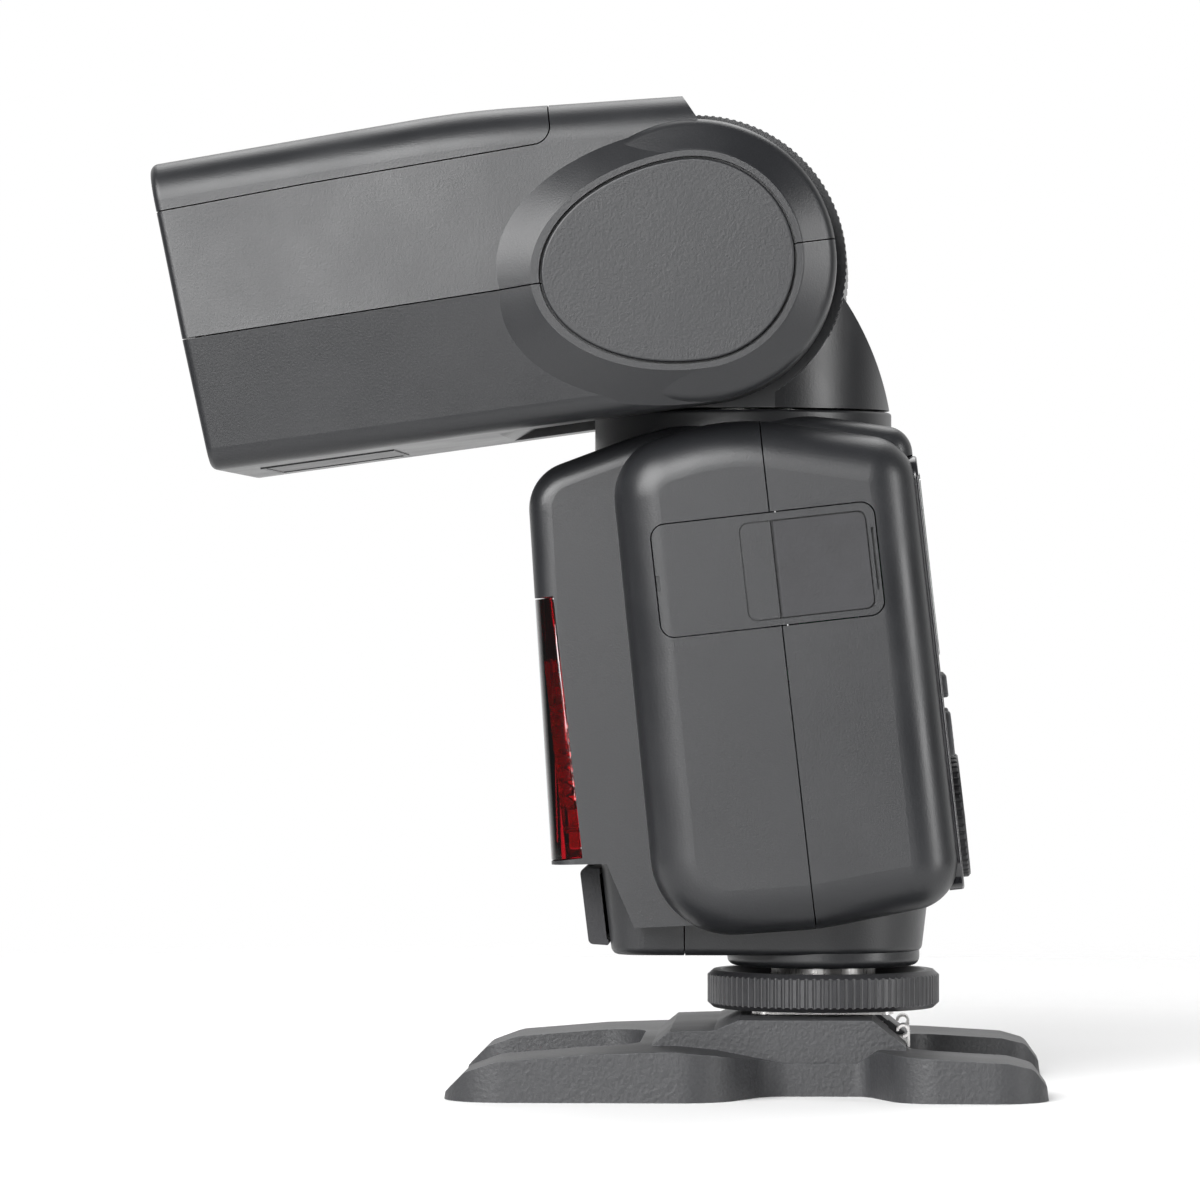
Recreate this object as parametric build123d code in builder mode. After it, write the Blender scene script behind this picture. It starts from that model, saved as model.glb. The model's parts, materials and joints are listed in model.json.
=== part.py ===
"""Speedlight flash on its mini stand, as separate pieces.

Frame: +Z up, the front faces -Y, and the origin is on the floor under the middle of the
lock ring. The body leans forward and the head is pitched down, so each has its own planes.
"""
import os
from math import cos, radians, sin

from build123d import *

# ---- driving dimensions, millimetres and degrees ----
BODY_LEAN = 6.4            # the body leans this far forward
BODY_BASE_Z = 17.9         # height of the body frame's origin
BODY_HALF_WIDTH = 30.0
BODY_REAR = 21.7           # rear face, measured back from the body frame's origin
WALL = 2.0                 # casing wall
SEAM = 0.2                 # visible joint line between two casing pieces

PIVOT_Y, PIVOT_Z = -18.4, 121.9    # tilt axis
HEAD_PITCH = 8.7           # the head points this far below level at its lowest click
HEAD_HALF_WIDTH = 36.4
EAR_R = 20.6               # round ear about the tilt axis
EAR_HALF_WIDTH = 38.2
SLOT_HALF_WIDTH = 21.7     # gap between the two ears
DRUM_R = 21.9              # neck drum between the ears
DRUM_HALF_WIDTH = 21.3

SWIVEL_Y = -12.0           # swivel axis
SWIVEL_Z = 101.0           # plane that the neck turns on
TURRET_R = 22.2

STAND_HALF_WIDTH = 38.0
STAND_FRONT, STAND_BACK = -55.0, 33.0
SHOE_FLOOR_Z = 7.0         # floor of the stand's shoe slot
SHOE_LIP_Z = 9.2           # underside of the two rails
RAIL_TOP_Z = 11.1
SHOE_W, SHOE_L, SHOE_T = 18.6, 18.0, 1.95    # ISO 518 foot plate
RING_R, RING_LOW, RING_HIGH = 17.35, 11.8, 17.4

CELL_R, CELL_L = 7.2, 50.3         # AA cell

# ---- planes ----
BODY_BACK = Vector(0, cos(radians(BODY_LEAN)), sin(radians(BODY_LEAN)))
BODY_UP = Vector(0, -sin(radians(BODY_LEAN)), cos(radians(BODY_LEAN)))
BODY_ORIGIN = Vector(0, 0, BODY_BASE_Z)
BODY_SIDE = Plane(BODY_ORIGIN, x_dir=BODY_BACK, z_dir=(1, 0, 0))       # x back, y up
BODY_PLAN = Plane(BODY_ORIGIN, x_dir=(1, 0, 0), z_dir=BODY_UP)         # x left, y back
BODY_END = Plane(BODY_ORIGIN, x_dir=(-1, 0, 0), z_dir=BODY_BACK)       # seen from behind

PIVOT = Vector(0, PIVOT_Y, PIVOT_Z)
HEAD_FWD = Vector(0, -cos(radians(HEAD_PITCH)), -sin(radians(HEAD_PITCH)))
HEAD_UP = Vector(0, -sin(radians(HEAD_PITCH)), cos(radians(HEAD_PITCH)))
HEAD_SIDE = Plane(PIVOT, x_dir=HEAD_FWD, z_dir=(-1, 0, 0))             # x forward, y up
HEAD_END = Plane(PIVOT, x_dir=(1, 0, 0), z_dir=HEAD_FWD)               # seen from the front
HEAD_PLAN = Plane(PIVOT, x_dir=(-1, 0, 0), z_dir=HEAD_UP)              # y forward

SIDE = Plane.YZ                                                        # x back, y up


def save(piece, name):
    """Label one finished piece and write its file."""
    piece.part.label = name
    export_step(piece.part, f"parts/{name}.step")


def block(plane, x_span, y_span, z_span, radius=0.0):
    """A private rectangular prism on a plane, between three pairs of limits."""
    with BuildPart(mode=Mode.PRIVATE) as prism:
        with BuildSketch(plane.offset(z_span[0])):
            with Locations(((x_span[0] + x_span[1]) / 2, (y_span[0] + y_span[1]) / 2)):
                width, height = x_span[1] - x_span[0], y_span[1] - y_span[0]
                if radius:
                    RectangleRounded(width, height, radius)
                else:
                    Rectangle(width, height)
        extrude(amount=z_span[1] - z_span[0])
    return prism.part


def drum(plane, centre, radius, z_span):
    """A private cylinder on a plane."""
    with BuildPart(mode=Mode.PRIVATE) as rod:
        with BuildSketch(plane.offset(z_span[0])):
            with Locations(centre):
                Circle(radius)
        extrude(amount=z_span[1] - z_span[0])
    return rod.part


os.makedirs("parts", exist_ok=True)

# ======================= body casing =======================
NOSE_HALF_WIDTH = 22.8     # slim core with the nose
NOSE_ROUND = 3.5           # rounding of the core's long edges
FLANK_ROUND = 6.8          # rounding all round the wide flanks
NOSE_FOOT = (-37.8, 20.2)  # lower front corner of the nose (back, up)


def body_form(inset=0.0):
    """The body's outer form, or a smaller one inside it."""
    with BuildSketch(BODY_SIDE, mode=Mode.PRIVATE) as core_outline:
        with BuildLine():
            crest = FilletPolyline(
                (BODY_REAR, 40), (BODY_REAR, 77.9), (-4.6, 85.0), (-35.05, 77.4), NOSE_FOOT,
                radius=[4, 70, 7])
            Polyline(crest @ 1, (-29.6, 19.5), (-26.6, 9.7), (0, 8), (10, 40), crest @ 0)
        make_face()
        if inset:
            offset(amount=-inset, kind=Kind.INTERSECTION)
    with BuildSketch(BODY_SIDE, mode=Mode.PRIVATE) as flank_outline:
        with BuildLine():
            FilletPolyline(
                (BODY_REAR, 8.4), (BODY_REAR, 76.0), (-4.6, 82.9), (-22.4, 79.2), (-23.2, 7.6),
                (0.2, 6.6), radius=[7.2, 7.2, 36, 9, 12, 40], close=True)
        make_face()
        if inset:
            offset(amount=-inset, kind=Kind.INTERSECTION)
    with BuildPart(mode=Mode.PRIVATE) as core:
        extrude(core_outline.sketch, amount=NOSE_HALF_WIDTH - inset, both=True)
        long_edges = edges().filter_by(lambda e: abs(e.center().X) > NOSE_HALF_WIDTH - inset - 0.1)
        raised = [e for e in long_edges if BODY_SIDE.to_local_coords(e.center()).Y > 41 - inset]
        fillet(raised, NOSE_ROUND - 0.9 * inset)
    with BuildPart(mode=Mode.PRIVATE) as form:
        extrude(flank_outline.sketch, amount=BODY_HALF_WIDTH - inset, both=True)
        fillet(faces().filter_by(Axis.X).edges(), FLANK_ROUND - inset)
        add(core.part)
    return form.part


body_outer = body_form()
body_inner = body_form(WALL)

# places on the body, in its side plane (back, up)
WINDOW_BACK, WINDOW_LOW, WINDOW_HIGH = -33.2, 20.9, 59.2
COVER_BACK, COVER_UP = (-17.5, 15.1), (51.5, 67.9)
FLAP_BACK, FLAP_UP = (0.1, 13.7), (52.6, 66.6)
FLAP_T = 1.05
DOOR_BACK, DOOR_UP = (-17.0, 12.0), (13.4, 43.0)
DOOR_PIN = (11.2, BODY_HALF_WIDTH - 0.7)       # back, and sideways on the -X flank
DOOR_PIN_R = 0.6
JACK_AT, JACK_R = (4.4, 60.4), 3.0             # sync socket behind the flap
USB_AT = (10.0, 59.6)
PANEL_HALF_WIDTH, PANEL_UP, PANEL_FACE = 24.4, (10.0, 74.0), 22.2
CELL_ROWS = [(-10.5, 19.4), (4.7, 19.4), (-10.5, 34.6), (4.7, 34.6)]
SCREW_AT = [(20, 13), (-20, 13), (20, -12), (-20, -12)]
SCREW_SEAT, SCREW_HEAD_T = 9.1, 1.2
LINER = BODY_HALF_WIDTH - 2.2                  # inner side of the cover and the door


def outer_slice(prism):
    """The part of the body's outer form that lies in a prism."""
    with BuildPart(mode=Mode.PRIVATE) as piece:
        add(body_outer)
        add(prism, mode=Mode.INTERSECT)
    return piece.part


turret_hole = drum(Plane.XY, (0, SWIVEL_Y), TURRET_R + 0.05, (84, 110))
window_hole = block(BODY_SIDE, (-60, WINDOW_BACK + SEAM),
                    (WINDOW_LOW - SEAM, WINDOW_HIGH + SEAM), (-40, 40))
cover_hole = block(BODY_SIDE, (COVER_BACK[0] - SEAM, COVER_BACK[1] + SEAM),
                   (COVER_UP[0] - SEAM, COVER_UP[1] + SEAM), (LINER - 1, 40), 2.2)
door_hole = block(BODY_SIDE, (DOOR_BACK[0] - 0.3, DOOR_BACK[1] + 0.6),
                  (DOOR_UP[0] - 0.3, DOOR_UP[1] + 0.3), (-40, -LINER + 1), 2.0)
panel_hole = block(BODY_END, (-PANEL_HALF_WIDTH - SEAM, PANEL_HALF_WIDTH + SEAM),
                   (PANEL_UP[0] - SEAM, PANEL_UP[1] + SEAM), (18, 30), 4.2)
SOCKET_HALF_WIDTH, SOCKET_Z = 7.5, (23.4, 31.2)
socket_hole = block(Plane.XZ.offset(20), (-SOCKET_HALF_WIDTH - 0.1, SOCKET_HALF_WIDTH + 0.1),
                    (SOCKET_Z[0] - 0.1, SOCKET_Z[1] + 0.1), (0, 20), 1.5)
door_pin_bore = drum(BODY_PLAN.offset(DOOR_UP[0] - 2), (-DOOR_PIN[1], DOOR_PIN[0]), DOOR_PIN_R,
                     (0, DOOR_UP[1] - DOOR_UP[0] + 4))
casing_holes = (turret_hole, window_hole, cover_hole, door_hole, panel_hole, door_pin_bore,
                socket_hole)


def casing(back_low, back_high):
    """One casing shell, between two planes across the body."""
    with BuildPart() as shell:
        add(body_outer)
        add(body_inner, mode=Mode.SUBTRACT)
        add(block(BODY_SIDE, (back_low, back_high), (-10, 120), (-50, 50)), mode=Mode.INTERSECT)
        for hole in casing_holes:
            add(hole, mode=Mode.SUBTRACT)
        with BuildSketch(BODY_PLAN):
            with Locations(*SCREW_AT):
                Circle(1.3)
        extrude(amount=14, mode=Mode.SUBTRACT)
        with BuildSketch(BODY_PLAN.offset(5)):
            with Locations(*SCREW_AT):
                Circle(2.7)
        extrude(amount=SCREW_SEAT - 5, mode=Mode.SUBTRACT)
    return shell


front_shell = casing(-60, -SEAM / 2)
save(front_shell, "front_shell")
rear_shell = casing(SEAM / 2, 60)
save(rear_shell, "rear_shell")

with BuildPart() as af_window:
    add(outer_slice(block(BODY_SIDE, (-60, WINDOW_BACK), (WINDOW_LOW, WINDOW_HIGH), (-40, 40))))
    add(block(BODY_SIDE, (-35.2, -20), (0, 70), (-20.9, 20.9), 0.5), mode=Mode.SUBTRACT)
save(af_window, "af_window")

with BuildPart() as af_lamp_module:
    add(block(BODY_SIDE, (-31.5, -28.5), (24, 50), (-17, 17), 1.0))
    with BuildSketch(BODY_END.offset(-31.5)):
        with Locations((-8, 33), (8, 33), (0, 44)):
            Circle(4.2)
    extrude(amount=-1.8, taper=20)
save(af_lamp_module, "af_lamp_module")

# ======================= side cover, flap and sockets =======================
STRIP_BACK = -4.5          # front edge of the fixed strip beside the flap
FLAP_BARREL = (BODY_HALF_WIDTH - FLAP_T / 2, FLAP_BACK[0] + FLAP_T / 2)     # sideways, back


def flap_outline(plane, grow):
    """The flap's outline: square at its hinge, rounded at its free edge."""
    with BuildSketch(plane, mode=Mode.PRIVATE) as outline:
        middle = (FLAP_UP[0] + FLAP_UP[1]) / 2
        height = FLAP_UP[1] - FLAP_UP[0] + 2 * grow
        with Locations(((STRIP_BACK + FLAP_BACK[1] + grow) / 2, middle)):
            RectangleRounded(FLAP_BACK[1] + grow - STRIP_BACK, height, 1.2)
        with Locations((FLAP_BACK[0] - grow - 10, middle)):
            Rectangle(20, 40, mode=Mode.SUBTRACT)
    return outline.sketch


with BuildPart() as side_cover:
    add(outer_slice(block(BODY_SIDE, COVER_BACK, COVER_UP, (LINER, 40), 2.0)))
    extrude(flap_outline(BODY_SIDE.offset(BODY_HALF_WIDTH - FLAP_T - 0.1), SEAM), amount=10,
            mode=Mode.SUBTRACT)
    add(block(BODY_SIDE, (14.4, 14.75), (55, 64.2), (BODY_HALF_WIDTH - 1.2, 40), 0.15),
        mode=Mode.SUBTRACT)
    add(block(BODY_SIDE, (-18, -16.9), (58.2, 60.6), (BODY_HALF_WIDTH - 0.7, 40), 0.3),
        mode=Mode.SUBTRACT)
    with BuildSketch(BODY_SIDE.offset(BODY_HALF_WIDTH - 0.5)):
        with Locations(((STRIP_BACK + FLAP_BACK[1]) / 2, (FLAP_UP[0] + FLAP_UP[1]) / 2)):
            RectangleRounded(FLAP_BACK[1] - STRIP_BACK + 0.5, FLAP_UP[1] - FLAP_UP[0] + 0.5, 1.4)
            RectangleRounded(FLAP_BACK[1] - STRIP_BACK, FLAP_UP[1] - FLAP_UP[0], 1.2,
                             mode=Mode.SUBTRACT)
    extrude(amount=2, mode=Mode.SUBTRACT)
    with BuildSketch(BODY_SIDE.offset(LINER - 1)):
        with Locations(JACK_AT):
            Circle(JACK_R + 0.05)
        with Locations(USB_AT):
            RectangleRounded(3.3, 9.1, 0.8)
    extrude(amount=4, mode=Mode.SUBTRACT)
save(side_cover, "side_cover")

with BuildPart() as port_flap:
    extrude(flap_outline(BODY_SIDE.offset(BODY_HALF_WIDTH - FLAP_T), 0), amount=FLAP_T)
    add(block(BODY_SIDE, (FLAP_BACK[0] - 1, FLAP_BARREL[1]), (FLAP_UP[0] - 1, FLAP_UP[1] + 1), (20, 40)),
        mode=Mode.SUBTRACT)
    with BuildSketch(BODY_PLAN.offset(FLAP_UP[0])):
        with Locations(FLAP_BARREL):
            Circle(FLAP_T / 2)
    extrude(amount=FLAP_UP[1] - FLAP_UP[0])
    with BuildSketch(BODY_SIDE.offset(BODY_HALF_WIDTH - FLAP_T)):
        with Locations((FLAP_BACK[1] - 1.2, sum(FLAP_UP) / 2)):
            Rectangle(0.5, 8)
    extrude(amount=0.4, mode=Mode.SUBTRACT)
save(port_flap, "port_flap")

with BuildPart() as sync_jack:
    with BuildSketch(BODY_SIDE.offset(15)):
        with Locations(JACK_AT):
            Circle(JACK_R)
    extrude(amount=13.6)
    with BuildSketch(BODY_SIDE.offset(16)):
        with Locations(JACK_AT):
            Circle(1.78)
    extrude(amount=13, mode=Mode.SUBTRACT)
save(sync_jack, "sync_jack")

with BuildPart() as data_socket:
    with BuildSketch(BODY_SIDE.offset(22)):
        with Locations(USB_AT):
            RectangleRounded(3.2, 9.0, 0.7)
    extrude(amount=6.6)
    with BuildSketch(BODY_SIDE.offset(23)):
        with Locations(USB_AT):
            RectangleRounded(2.4, 8.2, 0.5)
            Rectangle(0.7, 6.0, mode=Mode.SUBTRACT)
    extrude(amount=6, mode=Mode.SUBTRACT)
save(data_socket, "data_socket")

# ======================= battery compartment =======================
with BuildPart() as battery_door:
    add(outer_slice(block(BODY_SIDE, DOOR_BACK, DOOR_UP, (-40, -LINER), 1.8)))
    with BuildSketch(BODY_PLAN.offset(DOOR_UP[0] - 1)):
        with Locations((-DOOR_PIN[1], DOOR_PIN[0])):
            Circle(DOOR_PIN_R + 0.05)
    extrude(amount=DOOR_UP[1] - DOOR_UP[0] + 2, mode=Mode.SUBTRACT)
    with BuildSketch(BODY_SIDE.offset(-BODY_HALF_WIDTH)):
        with GridLocations(1.6, 0, 5, 1):
            with Locations((-9, 28)):
                RectangleRounded(0.7, 14, 0.3)
    extrude(amount=0.5, mode=Mode.SUBTRACT)
save(battery_door, "battery_door")

with BuildPart() as battery_door_pin:
    with BuildSketch(BODY_PLAN.offset(DOOR_UP[0] - 2)):
        with Locations((-DOOR_PIN[1], DOOR_PIN[0])):
            Circle(DOOR_PIN_R)
    extrude(amount=DOOR_UP[1] - DOOR_UP[0] + 4)
save(battery_door_pin, "battery_door_pin")

with BuildPart() as battery_tray:
    add(block(BODY_SIDE, (-19.0, 12.9), (10.6, 42.9), (-27.0, 26.8), 1.0))
    add(body_inner, mode=Mode.INTERSECT)
    with BuildSketch(BODY_SIDE.offset(-28)):
        with Locations(*CELL_ROWS):
            Circle(CELL_R + 0.25)
    extrude(amount=28 + 25.6, mode=Mode.SUBTRACT)
    with BuildSketch(BODY_SIDE.offset(-28)):
        with Locations((-2.9, 27)):
            Rectangle(9, 34)
    extrude(amount=6, mode=Mode.SUBTRACT)
save(battery_tray, "battery_tray")

with BuildPart() as cells:
    with BuildSketch(BODY_SIDE.offset(-25.6)):
        with Locations(*CELL_ROWS):
            Circle(CELL_R)
    extrude(amount=CELL_L - 1)
    with BuildSketch(BODY_SIDE.offset(-25.6 + CELL_L - 1)):
        with Locations(*CELL_ROWS):
            Circle(2.6)
    extrude(amount=1)
save(cells, "cells")

with BuildPart() as battery_contacts:
    with BuildSketch(BODY_SIDE.offset(24.8)):
        with Locations(*CELL_ROWS):
            RectangleRounded(9, 9, 1)
    extrude(amount=0.7)
save(battery_contacts, "battery_contacts")

# ======================= boards and capacitor =======================
with BuildPart() as flash_capacitor:
    with BuildSketch(BODY_SIDE.offset(-20)):
        with Locations((-11, 56.6)):
            Circle(10.4)
    extrude(amount=40)
    fillet(edges().filter_by(GeomType.CIRCLE), 0.8)
save(flash_capacitor, "flash_capacitor")

with BuildPart() as power_board:
    add(block(BODY_SIDE, (-18, 12.6), (43.4, 45.0), (-25, 25)))
    with BuildSketch(BODY_SIDE.offset(-20)):
        with Locations((6.5, 48.5)):
            RectangleRounded(9, 7, 0.8)
    extrude(amount=14)
save(power_board, "power_board")

with BuildPart() as control_board:
    add(block(BODY_END, (-23, 23), (13, 68), (15.2, 16.8), 1.0))
    with BuildSketch(BODY_END.offset(15.2)):
        with GridLocations(20, 13, 2, 3):
            with Locations((0, 44)):
                Rectangle(6, 6)
    extrude(amount=-1.2)
save(control_board, "control_board")

with BuildPart() as case_screws:
    with BuildSketch(BODY_PLAN.offset(SCREW_SEAT - SCREW_HEAD_T)):
        with Locations(*SCREW_AT):
            Circle(2.6)
            Rectangle(3, 0.6, mode=Mode.SUBTRACT)
    extrude(amount=SCREW_HEAD_T - 0.5)
    with BuildSketch(BODY_PLAN.offset(SCREW_SEAT - 0.5)):
        with Locations(*SCREW_AT):
            Circle(2.6)
    extrude(amount=0.5)
    with BuildSketch(BODY_PLAN.offset(SCREW_SEAT)):
        with Locations(*SCREW_AT):
            Circle(1.25)
    extrude(amount=1.4)
save(case_screws, "case_screws")

# ======================= rear controls =======================
DISPLAY_AT, DISPLAY_SIZE = (0, 58), (43, 27)
DIAL_AT, DIAL_R, SET_R = (0, 20.2), 9.3, 5.0
SOFT_KEY_UP, SOFT_KEY_SIZE, SOFT_KEY_PITCH = 39.9, (7.6, 3.4), 10.4
SIDE_KEY_AT, SIDE_KEY_SIZE = (16.0, 32.8), (9.0, 6.6)
SWITCH_AT, SWITCH_SIZE, SWITCH_TRAVEL = (0, 33.0), (6.0, 3.6), 3.0
KEY_GAP, KEY_PROUD, KEY_DEPTH = 0.15, 0.8, 2.2
soft_key_x = [SOFT_KEY_PITCH * (i - 1.5) for i in range(4)]


def key_cap(centre, size, radius, proud=KEY_PROUD):
    """A key: its cap stands through the panel and a flange holds it behind."""
    with BuildPart() as key:
        with BuildSketch(BODY_END.offset(PANEL_FACE - KEY_DEPTH - 0.4)):
            with Locations(centre):
                RectangleRounded(size[0], size[1], radius)
        extrude(amount=KEY_DEPTH + 0.4 + proud)
        fillet(faces().sort_by(Axis(BODY_ORIGIN, BODY_BACK))[-1].edges(), 0.35)
        with BuildSketch(BODY_END.offset(PANEL_FACE - KEY_DEPTH - 1.2)):
            with Locations(centre):
                RectangleRounded(size[0] + 1.2, size[1] + 1.2, radius)
        extrude(amount=0.8)
    return key


with BuildPart() as rear_panel:
    add(block(BODY_END, (-PANEL_HALF_WIDTH, PANEL_HALF_WIDTH), PANEL_UP,
              (PANEL_FACE - KEY_DEPTH, PANEL_FACE), 4.0))
    fillet(faces().sort_by(Axis(BODY_ORIGIN, BODY_BACK))[-1].edges(), 0.4)
    with BuildSketch(BODY_END.offset(PANEL_FACE - KEY_DEPTH - 1)):
        with Locations(DISPLAY_AT):
            RectangleRounded(DISPLAY_SIZE[0], DISPLAY_SIZE[1], 1.5)
        with Locations(DIAL_AT):
            Circle(DIAL_R + 0.2)
        for key_x in soft_key_x:
            with Locations((key_x, SOFT_KEY_UP)):
                RectangleRounded(SOFT_KEY_SIZE[0] + 2 * KEY_GAP, SOFT_KEY_SIZE[1] + 2 * KEY_GAP, 1.1)
        for side in (-1, 1):
            with Locations((side * SIDE_KEY_AT[0], SIDE_KEY_AT[1])):
                RectangleRounded(SIDE_KEY_SIZE[0] + 2 * KEY_GAP, SIDE_KEY_SIZE[1] + 2 * KEY_GAP, 2.1)
        with Locations(SWITCH_AT):
            RectangleRounded(SWITCH_SIZE[0] + SWITCH_TRAVEL + 0.4, SWITCH_SIZE[1] + 0.4, 1.2)
    extrude(amount=KEY_DEPTH + 3, mode=Mode.SUBTRACT)
save(rear_panel, "rear_panel")

with BuildPart() as display_window:
    with BuildSketch(BODY_END.offset(PANEL_FACE - 0.9)):
        with Locations(DISPLAY_AT):
            RectangleRounded(DISPLAY_SIZE[0] - 0.2, DISPLAY_SIZE[1] - 0.2, 1.4)
    extrude(amount=1.1)
save(display_window, "display_window")

with BuildPart() as display_module:
    with BuildSketch(BODY_END.offset(17.2)):
        with Locations(DISPLAY_AT):
            Rectangle(DISPLAY_SIZE[0] - 2, DISPLAY_SIZE[1] - 2)
    extrude(amount=PANEL_FACE - 1.0 - 17.2)
save(display_module, "display_module")

for number, key_x in enumerate(soft_key_x, 1):
    soft_key = key_cap((key_x, SOFT_KEY_UP), SOFT_KEY_SIZE, 1.0)
    save(soft_key, f"soft_key_{number}")

mode_button = key_cap((-SIDE_KEY_AT[0], SIDE_KEY_AT[1]), SIDE_KEY_SIZE, 2.0)
save(mode_button, "mode_button")
test_button = key_cap(SIDE_KEY_AT, SIDE_KEY_SIZE, 2.0)
save(test_button, "test_button")

with BuildPart() as power_switch:
    switch_x = SWITCH_AT[0] - SWITCH_TRAVEL / 2
    add(block(BODY_END, (switch_x - 3, switch_x + 3), (SWITCH_AT[1] - 1.8, SWITCH_AT[1] + 1.8),
              (PANEL_FACE - KEY_DEPTH - 0.4, PANEL_FACE + 0.5), 1.0))
    with BuildSketch(BODY_END.offset(PANEL_FACE + 0.5)):
        with GridLocations(1.2, 0, 3, 1):
            with Locations((switch_x, SWITCH_AT[1])):
                Rectangle(0.5, 2.6)
    extrude(amount=0.3)
    add(block(BODY_END, (switch_x - 4, switch_x + 4), (SWITCH_AT[1] - 2.6, SWITCH_AT[1] + 2.6),
              (PANEL_FACE - KEY_DEPTH - 1.2, PANEL_FACE - KEY_DEPTH - 0.4)))
save(power_switch, "power_switch")

with BuildPart() as select_dial:
    with BuildSketch(BODY_END.offset(PANEL_FACE - 2.8)):
        with Locations(DIAL_AT):
            Circle(DIAL_R)
            Circle(SET_R + 0.2, mode=Mode.SUBTRACT)
    extrude(amount=4.1)
    chamfer(edges().group_by(Axis(BODY_ORIGIN, BODY_BACK))[-1], 0.4)
    with BuildSketch(BODY_END.offset(PANEL_FACE - 0.2)):
        with Locations(DIAL_AT):
            with PolarLocations(DIAL_R + 0.1, 48):
                Circle(0.32)
    extrude(amount=2, mode=Mode.SUBTRACT)
save(select_dial, "select_dial")

with BuildPart() as set_button:
    with BuildSketch(BODY_END.offset(PANEL_FACE - 2.4)):
        with Locations(DIAL_AT):
            Circle(SET_R)
    extrude(amount=3.3)
    fillet(faces().sort_by(Axis(BODY_ORIGIN, BODY_BACK))[-1].edges(), 0.5)
save(set_button, "set_button")

# ======================= swivel base, neck and drum =======================
TUBE_R, TUBE_BORE = 12.9, 10.4
swivel_centre = (0, SWIVEL_Y)

with BuildPart() as swivel_base:
    with BuildSketch(Plane.XY.offset(90)):
        with Locations(swivel_centre):
            Circle(TURRET_R)
    extrude(amount=SWIVEL_Z - 0.3 - 90)
    fillet(edges().sort_by(Axis.Z)[-1], 0.5)
    with BuildSketch(Plane.XY.offset(90)):
        with Locations(swivel_centre):
            Circle(TURRET_R - 2)
    extrude(amount=SWIVEL_Z - 4 - 90, mode=Mode.SUBTRACT)
    with BuildSketch(Plane.XY.offset(80)):
        with Locations(swivel_centre):
            Circle(TUBE_R + 0.06)
    extrude(amount=30, mode=Mode.SUBTRACT)
save(swivel_base, "swivel_base")

with BuildPart() as swivel_tube:
    with BuildSketch(Plane.XY.offset(91)):
        with Locations(swivel_centre):
            Circle(TUBE_R)
            Circle(TUBE_BORE, mode=Mode.SUBTRACT)
    extrude(amount=13)
save(swivel_tube, "swivel_tube")

with BuildPart() as swivel_retainer:
    with BuildSketch(Plane.XY.offset(94.6)):
        with Locations(swivel_centre):
            Circle(TUBE_R + 3.5)
            Circle(TUBE_R, mode=Mode.SUBTRACT)
    extrude(amount=2)
save(swivel_retainer, "swivel_retainer")

with BuildPart() as neck_shell:
    with BuildSketch(Plane.XY.offset(SWIVEL_Z)):
        with Locations(swivel_centre):
            Circle(TURRET_R - 0.3)
            Rectangle(2 * DRUM_HALF_WIDTH, 60, mode=Mode.INTERSECT)
    extrude(amount=30)
    with BuildSketch(SIDE):
        with BuildLine():
            nape = ThreePointArc((9.9, SWIVEL_Z), (6.9, 110.6), (2.3, 118.5))
            Polyline(nape @ 1, (PIVOT_Y, PIVOT_Z), (-33.9, 106.4), (-33.9, SWIVEL_Z), nape @ 0)
        make_face()
    extrude(amount=DRUM_HALF_WIDTH, both=True, mode=Mode.INTERSECT)
    with BuildSketch(SIDE):
        with Locations((PIVOT_Y, PIVOT_Z)):
            Circle(DRUM_R)
    extrude(amount=DRUM_HALF_WIDTH, both=True)
    add(block(Plane.XY, (-40, 40), (-60, 40), (80, SWIVEL_Z)), mode=Mode.SUBTRACT)
    with BuildSketch(SIDE):
        with Locations((PIVOT_Y, PIVOT_Z)):
            Circle(DRUM_R - WALL)
    extrude(amount=DRUM_HALF_WIDTH - WALL, both=True, mode=Mode.SUBTRACT)
    with BuildSketch(Plane.XY.offset(SWIVEL_Z)):
        with Locations(swivel_centre):
            Circle(TUBE_R)
    extrude(amount=3, mode=Mode.SUBTRACT)
    with BuildSketch(SIDE.offset(-DRUM_HALF_WIDTH)):
        with Locations((PIVOT_Y, PIVOT_Z)):
            Circle(7)
    extrude(amount=2 * DRUM_HALF_WIDTH, mode=Mode.SUBTRACT)
save(neck_shell, "neck_shell")

AXLE_R = 9.0
with BuildPart() as tilt_axles:
    with BuildSketch(SIDE.offset(DRUM_HALF_WIDTH)):
        with Locations((PIVOT_Y, PIVOT_Z)):
            Circle(AXLE_R)
            Circle(6.5, mode=Mode.SUBTRACT)
    extrude(amount=4.6)
    with BuildSketch(SIDE.offset(DRUM_HALF_WIDTH + 3.0)):
        with Locations((PIVOT_Y, PIVOT_Z)):
            Circle(AXLE_R + 2.2)
            Circle(6.5, mode=Mode.SUBTRACT)
    extrude(amount=1.4)
    mirror(about=Plane.YZ)
save(tilt_axles, "tilt_axles")

# ======================= head casing =======================
HEAD_WALL = 2.2
EDGE_TOP, EDGE_LOW = 6.0, 3.5
FRONT_FOOT, FRONT_BROW = (74.15, -19.4), (76.65, 26.2)   # ends of the front face (forward, up)
CREST_HALF_WIDTH, KEEL_HALF_WIDTH = 34.7, 34.5           # the flanks draw in from the parting line
CREST_UP, KEEL_UP = 27.0, -21.0
EAR_SHOULDER = 35.2        # half-width where the ear's sloping band starts
RIM_R, RIM_NOSE = 15.8, 23.8                             # flat rim of the egg-shaped boss
BAND_NOSE, BAND_ROOT = 33.8, 34.3                        # front end and foot of the sloping band
CAP_R, CAP_NOSE, CAP_T = 14.6, 22.2, 1.6
COVER_SEAM = [(90, 18.6), (54.7, 19.7), (17.9, 20.3), (17.7, 40)]


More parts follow.
